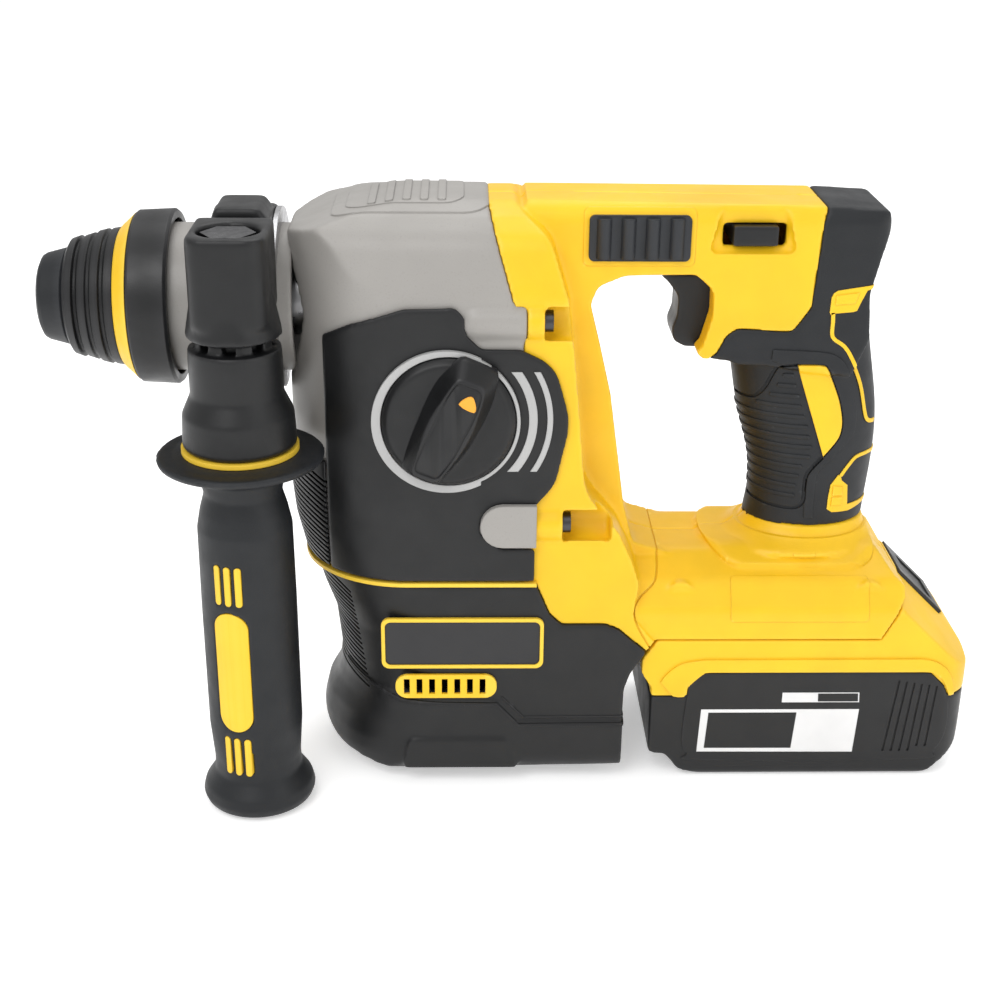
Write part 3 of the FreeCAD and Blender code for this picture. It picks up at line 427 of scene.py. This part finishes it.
UPPER_LINE = curve_points([(287.0, 0.4), (287.2, -3.0), (287.3, -7.5), (288.5, -9.7), (292.5, -12.6),
                           (296.2, -18.3),
                           (301.4, -29.2), (304.5, -40.8), (306.3, -44.3), (309.5, -45.5)])
UPPER_TAB = [(285.9, 6.0), (286.6, 7.6), (288.0, 8.6), (301.0, 10.7), (300.6, 9.3), (298.6, 8.7),
             (296.8, 4.6),
             (295.5, 1.2), (294.1, 0.7), (287.6, 0.1), (286.2, -0.5), (285.7, 0.5)]
UPPER_KEY = [(287.4, 3.3), (287.5, 6.9), (295.8, 8.0), (294.5, 3.9)]
LOWER_LINE = curve_points([(311.5, -58.0), (307.5, -57.4), (302.5, -57.8), (299.5, -60.6), (296.5, -64.7)])
LOWER_TAB = [(296.5, -64.4), (297.2, -66.6), (299.8, -68.9), (300.6, -77.1), (309.6, -76.9), (309.2, -78.4),
             (301.1, -79.9), (294.3, -79.4), (292.2, -77.9), (292.3, -73.0), (292.8, -68.0), (295.5, -64.2)]
LOWER_KEY = [[(293.8, -72.2), (293.9, -68.3), (297.7, -69.1), (297.9, -72.5)],
             [(293.6, -76.6), (293.8, -73.0), (298.0, -73.3), (298.1, -76.8)]]
RIB_TOP_Z = -24.4
RIB_PITCH = 4.02
RIB_HALF = 0.7
RIB_LEFT = [271.3, 269.6, 267.2, 262.9, 252.0] + [246.0] * 8
RIB_RIGHT = [275.3, 276.5, 278.1, 279.1, 280.6, 282.1, 283.1, 284.3, 284.0, 281.4, 280.4, 279.7, 279.5]
SLAB = RIDGE + [(283.6, -81.4)] + PALM_LOW[:14][::-1] + [(276.0, -19.0), (270.0, -19.4), (266.0, -17.6)]
for side in (NEAR, FAR):
    raised(grip, SLAB, 0.5, side)
    for path in (PALM, PALM_LOW):
        sunk(grip, ribbon(path, 1.3), 0.8, side)
    sunk(grip, ribbon(BAND, 0.8), 0.7, side)
    for index, (left, right) in enumerate(zip(RIB_LEFT, RIB_RIGHT)):
        rib_z = RIB_TOP_Z - RIB_PITCH * index
        raised(grip, rounded_box(left, rib_z - RIB_HALF, right, rib_z + RIB_HALF, 0.65), 0.45, side)
    tag = "near" if side == NEAR else "far"
    inlay(grip, BAND, 0.25, "grip_band_" + tag, YELLOW, "housing", "yellow_plastic", side)
    for index, outline in enumerate((ribbon(UPPER_LINE, 1.4), UPPER_TAB, ribbon(LOWER_LINE, 1.4),
                                     LOWER_TAB)):
        inlay(grip, outline, 0.35, "grip_line_%s_%d" % (tag, index), YELLOW, "housing", "yellow_plastic",
              side)
    for index, outline in enumerate([UPPER_KEY] + LOWER_KEY):
        inlay(grip, outline, 0.75, "grip_key_%s_%d" % (tag, index), YELLOW, "housing", "yellow_plastic",
              side)
shade(grip, RUBBER, "housing", "black_rubber")
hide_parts("grip_overmould")

# ---------------------------------------------------------------- yellow handle shell
BAR_FRAME = rounded_box(196.2, 17.4, 235.8, 38.0, 2.0)
FOOT_PANEL = rounded_box(254.9, -115.7, 307.4, -100.2, 1.4)
FOOT_SEAM = curve_points([(228.4, -88.0), (227.9, -93.7), (226.3, -101.5), (217.9, -111.2),
                          (225.6, -127.7)])
PLATE = curve_points([(246.0, 0.0), (246.5, -8.0), (249.5, -18.0), (256.0, -25.6), (266.0, -26.6),
                      (300.0, -26.6),
                      (308.0, -24.5), (311.4, -18.0), (311.5, 0.0)], False, 4)
for node in ("handle_shell_left", "handle_shell_right"):
    low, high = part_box(node)
    side = NEAR if low.y + high.y < 0 else FAR
    shell = soft_copy(node, node + "_skin", VOXEL, 2)
    raised_top(shell, [(x, -y * side) for x, y in PLATE], 0.9, -104.0, -88.8)
    raised(shell, BAR_FRAME, 0.4, side)
    raised(shell, FOOT_PANEL, 0.35, side)
    sunk(shell, ribbon(FOOT_SEAM, 0.6), 0.5, side)
    shade(shell, YELLOW, "housing", "yellow_plastic")
    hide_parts(node)

# ---------------------------------------------------------------- motor housing and front jacket
FINE_PITCH = 2.15
FINE_WIDTH = 0.85
FINE_DEPTH = 0.7
motor = soft_copy("motor_housing", "motor_skin", VOXEL)
for index in range(20):
    rib_z = -102.0 - FINE_PITCH * index
    shift = 0.0 if index < 10 else 1.2
    path = curve_points([(92.0, rib_z + 3.0), (104.0 + shift, rib_z), (111.5 + 0.32 * index, rib_z - 4.4)])
    sunk(motor, ribbon(path, FINE_WIDTH), FINE_DEPTH)
BOOT_LINE = [(108, -141.6), (117, -144.6), (129.6, -148.3), (166.6, -148.8), (175, -158), (216, -157.8)]
raised(motor, ribbon(BOOT_LINE, 1.1), 0.5)
raised(motor, ribbon([(168.5, -146.4), (177, -155.2), (216, -155.0)], 0.8), 0.35)
shade(motor, BLACK, "housing", "black_plastic")
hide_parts("motor_housing")

jacket = soft_copy("front_jacket", "jacket_skin", VOXEL, 9)
for index in range(21):
    rib_z = -56.0 - FINE_PITCH * index
    path = curve_points([(80.0, rib_z + 3.0), (94.0, rib_z), (104.0, rib_z - 4.4)])
    sunk(jacket, ribbon(path, FINE_WIDTH), FINE_DEPTH)
shade(jacket, BLACK, "housing", "black_plastic")
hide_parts("front_jacket")

# ---------------------------------------------------------------- battery pack
case = soft_copy("battery_case", "case_skin", VOXEL)
LABEL = curve_points([(240.3, -146.0), (241.8, -141.5), (246.8, -137.9), (333.9, -137.9), (339.5, -142.0),
                      (342.0, -150.0), (342.6, -164.0), (338.4, -172.6), (330.8, -176.6), (247.1, -176.7),
                      (241.5, -173.6), (239.0, -167.0)], True, 4)
raised(case, LABEL, 0.5)
for index in range(6):
    top = 321.8 + 2.95 * index
    foot = 318.4 + 3.3 * index
    high = -141.0 - 0.5 * index
    sunk(case, ribbon([(top, high), (foot, -172.6 + (2.2 if index > 3 else 0.0))], 0.9), 0.6)
shade(case, BLACK, "battery", "black_plastic")
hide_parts("battery_case")
for name, outline, material in (
        ("label_field", [(277.0, -150.5), (277.0, -146.2), (306.8, -146.2), (307.1, -150.5)], PRINT),
        ("label_bar", [(291.0, -150.1), (290.8, -146.6), (306.3, -146.6), (306.6, -150.1)], BLACK),
        ("label_panel", [(245.1, -172.6), (245.9, -153.6), (307.4, -153.6), (306.4, -172.9)], PRINT),
        ("label_window", [(247.9, -170.9), (248.8, -155.0), (283.1, -155.0), (282.0, -171.0)], BLACK)):
    lift = 0.12 if material is PRINT else 0.2
    label = inlay(case, outline, lift, name, material, "battery", "black_plastic")
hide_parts("battery_labels")

cover = soft_copy("battery_cover", "cover_skin", VOXEL, 3)
BEAD = curve_points([(229.6, -141.6), (231.5, -138.4), (235.2, -134.8), (239.7, -132.8), (246.5, -131.8)],
                    False, 4)
BEAD += curve_points([(329.9, -131.6), (335.5, -133.0), (340.3, -136.8), (343.4, -143.0),
                      (344.2, -149.0)], False, 4)
ARCH = curve_points([(342.3, -149.0), (340.2, -143.8), (337.9, -140.0), (333.8, -137.4)], False, 4)
ARCH += curve_points([(246.5, -137.7), (241.3, -142.8), (239.8, -148.4), (234.6, -147.7)], False, 4)
for side in (NEAR, FAR):
    raised(cover, BEAD + ARCH, 0.8, side)
shade(cover, YELLOW, "battery", "yellow_plastic")
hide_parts("battery_cover")

# ---------------------------------------------------------------- gear case and mode dial
gears = soft_copy("gear_housing", "gear_skin", VOXEL, 7)
raised_top(gears, rounded_box(107.0, -23.5, 163.0, 23.5, 9.0), 0.5, 26.0, 60.0)
raised_top(gears, rounded_box(112.0, -17.5, 154.0, 17.5, 7.0), 0.35, 26.0, 60.0)
for index in range(5):
    x = 120.0 + 6.2 * index
    raised_top(gears, rounded_box(x, -16.0, x + 2.8, 16.0, 0.8), 0.45, 26.0, 60.0)
shade(gears, GREY, "housing", "grey_housing")
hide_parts("gear_housing")

BOSS = [(180.4, -65.4)]
BOSS += [(168.2 - 8.3 * math.sin(math.pi * i / 12), -73.7 + 8.3 * math.cos(math.pi * i / 12))
         for i in range(13)]
BOSS += [(180.4, -82.0)]
boss = prism(BOSS, -44.2, -38.0, "lower_boss")
soften = boss.modifiers.new("rounded_edge", "BEVEL")
soften.width = 2.4 * MM
soften.segments = 4
freeze(boss)
shade(boss, GREY, "housing", "grey_housing")


def resample(points, count):
    """The closed outline again as evenly spaced points."""
    ring = [Vector(point) for point in points] + [Vector(points[0])]
    spans = [(b - a).length for a, b in zip(ring, ring[1:])]
    total = sum(spans)
    made = []
    for i in range(count):
        left = total * i / count
        k = 0
        while left > spans[k]:
            left -= spans[k]
            k += 1
        made.append(ring[k].lerp(ring[k + 1], left / spans[k]))
    return made


BAR_FOOT = [(152.8, -8.6), (145.0, -15.4), (138.6, -27.3), (134.0, -39.9), (132.0, -48.0), (132.8, -50.3),
            (138.6, -53.6), (143.6, -55.6), (145.8, -54.3), (152.8, -46.5), (159.2, -36.9), (164.2, -25.0),
            (166.0, -16.1), (164.9, -13.2), (155.0, -8.7)]
BAR_TOP = [(151.9, -14.0), (146.4, -21.3), (141.4, -30.2), (137.9, -39.9), (135.6, -47.6), (136.6, -49.8),
           (140.2, -51.4), (143.6, -52.5), (145.4, -51.4), (151.4, -43.6), (156.4, -34.7), (159.9, -25.0),
           (161.2, -19.4), (160.4, -17.0), (156.6, -15.2)]


def lofted(name, rings):
    """Closed body through rings of points that all have the same count."""
    form = bmesh.new()
    rows = [[form.verts.new(Vector(point) * MM) for point in ring] for ring in rings]
    for low, high in zip(rows, rows[1:]):
        for i in range(len(low)):
            j = (i + 1) % len(low)
            form.faces.new((low[i], low[j], high[j], high[i]))
    form.faces.new(rows[0])
    form.faces.new(rows[-1])
    bmesh.ops.triangulate(form, faces=[face for face in form.faces if len(face.verts) > 4])
    bmesh.ops.recalc_face_normals(form, faces=form.faces)
    return piece(name, form)


def level(outline, y, shrink=0.0):
    """An outline of (x, z) points at a Y plane, drawn in towards its middle."""
    middle = sum(outline, Vector((0, 0))) / len(outline)
    ring = []
    for point in outline:
        step = point - middle
        point = middle + step * (1 - shrink / step.length)
        ring.append((point.x, y, point.y))
    return ring


foot = resample(curve_points(BAR_FOOT, True, 4), 60)
top = resample(curve_points(BAR_TOP, True, 4), 60)
knob = lofted("dial_bar", [level(foot, -41.5), level(foot, -46.0), level(foot, -47.0, 0.8),
                           level(top, -52.4, -0.3),
                           level(top, -53.1, 0.3), level(top, -53.2, 1.6), level(top, -52.8, 1.9),
                           level(top, -52.8, 2.3), level(top, -53.1, 2.7)])
shade(knob, BLACK, "mode_dial", "black_plastic", 50.0)
pointer = prism(resample(curve_points([(152.1, -22.8), (156.9, -19.9), (157.9, -26.0)], True, 3), 18),
                -53.5, -52.6,
                "dial_arrow")
shade(pointer, POINTER, "mode_dial", "yellow_plastic")
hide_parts("dial_pointer")

# ---------------------------------------------------------------- sleeve spring
spring_form = bmesh.new()
spring_form.from_mesh(frame["nodes"]["sleeve_spring"].data)
spring = piece("sleeve_spring_coil", spring_form)
shade(spring, STEEL, "spindle", "steel")
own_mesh(spring)
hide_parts("sleeve_spring")

# ---------------------------------------------------------------- smaller moulded parts
SLOTS = {entry["node"]: entry["material_slot"] for entry in frame["record"]["subparts"]}
for node, rounds in (("handle_clamp", 30), ("handle_collar", 4), ("side_grip", 4), ("trigger", 6),
                     ("reversing_button", 6),
                     ("side_cover_left", 9), ("side_cover_right", 9), ("mode_dial", 4),
                     ("nose_barrel", 4)):
    skin = soft_copy(node, node + "_skin", VOXEL * 0.8, rounds)
    shade(skin, SLOT_MATERIALS[SLOTS[node]], frame["nodes"][node].parent.name.split(":")[1], SLOTS[node])
    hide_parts(node)


# ---------------------------------------------------------------- camera, light and floor
def oriented(location, yaw, pitch, roll):
    """Camera matrix: yaw turns right from +Y, pitch looks down, roll turns about the view."""
    forward = Vector((math.sin(yaw) * math.cos(pitch), math.cos(yaw) * math.cos(pitch), -math.sin(pitch)))
    right = Vector((math.cos(yaw), -math.sin(yaw), 0))
    up = right.cross(forward)
    across = right * math.cos(roll) + up * math.sin(roll)
    above = up * math.cos(roll) - right * math.sin(roll)
    matrix = Matrix((across, above, -forward)).transposed().to_4x4()
    matrix.translation = location
    return matrix


camera = bpy.data.objects.new("camera", bpy.data.cameras.new("camera"))
camera.data.lens = 57.64
camera.data.sensor_width = 36.0
camera.data.clip_start = 0.01
camera.matrix_world = oriented(Vector((153.4, -573.3, 167.0)) * MM, math.radians(1.47), math.radians(23.46),
                               math.radians(0.59))
bpy.context.scene.collection.objects.link(camera)
bpy.context.scene.camera = camera


def area_light(name, location, target, size, power):
    data = bpy.data.lights.new(name, "AREA")
    data.shape = "DISK"
    data.size = size
    data.energy = power
    lamp = bpy.data.objects.new(name, data)
    lamp.location = location
    lamp.rotation_euler = (Vector(target) - Vector(location)).to_track_quat("-Z", "Y").to_euler()
    bpy.context.scene.collection.objects.link(lamp)


MIDDLE = (CAD_LOW + CAD_HIGH) / 2
area_light("key", MIDDLE + Vector((-0.5, -0.9, 1.1)), MIDDLE, 0.9, 9.0)
area_light("fill", MIDDLE + Vector((1.0, -0.8, 0.5)), MIDDLE, 1.0, 3.0)
area_light("top", MIDDLE + Vector((0.1, 0.5, 1.3)), MIDDLE, 1.2, 8.0)

world = bpy.data.worlds.new("studio")
world.use_nodes = True
world.node_tree.nodes["Background"].inputs["Color"].default_value = (1.0, 1.0, 1.0, 1.0)
world.node_tree.nodes["Background"].inputs["Strength"].default_value = 0.68
bpy.context.scene.world = world
bpy.context.scene.view_settings.view_transform = "Standard"

floor_mesh = bpy.data.meshes.new("floor")
floor_form = bmesh.new()
bmesh.ops.create_grid(floor_form, x_segments=1, y_segments=1, size=6.0)
floor_form.to_mesh(floor_mesh)
floor_form.free()
floor = bpy.data.objects.new("floor", floor_mesh)
floor.location = (MIDDLE.x, MIDDLE.y, CAD_LOW.z - 0.0003)
floor_shader = Shader("floor", 0.7)
floor_shader.colour(floor_shader.blend(floor_shader.noise(3.0), (0.92, 0.92, 0.92), (0.90, 0.90, 0.90)))
floor_shader.bsdf.inputs["Emission Color"].default_value = (1.0, 1.0, 1.0, 1.0)
floor_shader.bsdf.inputs["Emission Strength"].default_value = 0.42
floor.data.materials.append(floor_shader.material)
bpy.context.scene.collection.objects.link(floor)
floor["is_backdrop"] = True

low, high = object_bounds()
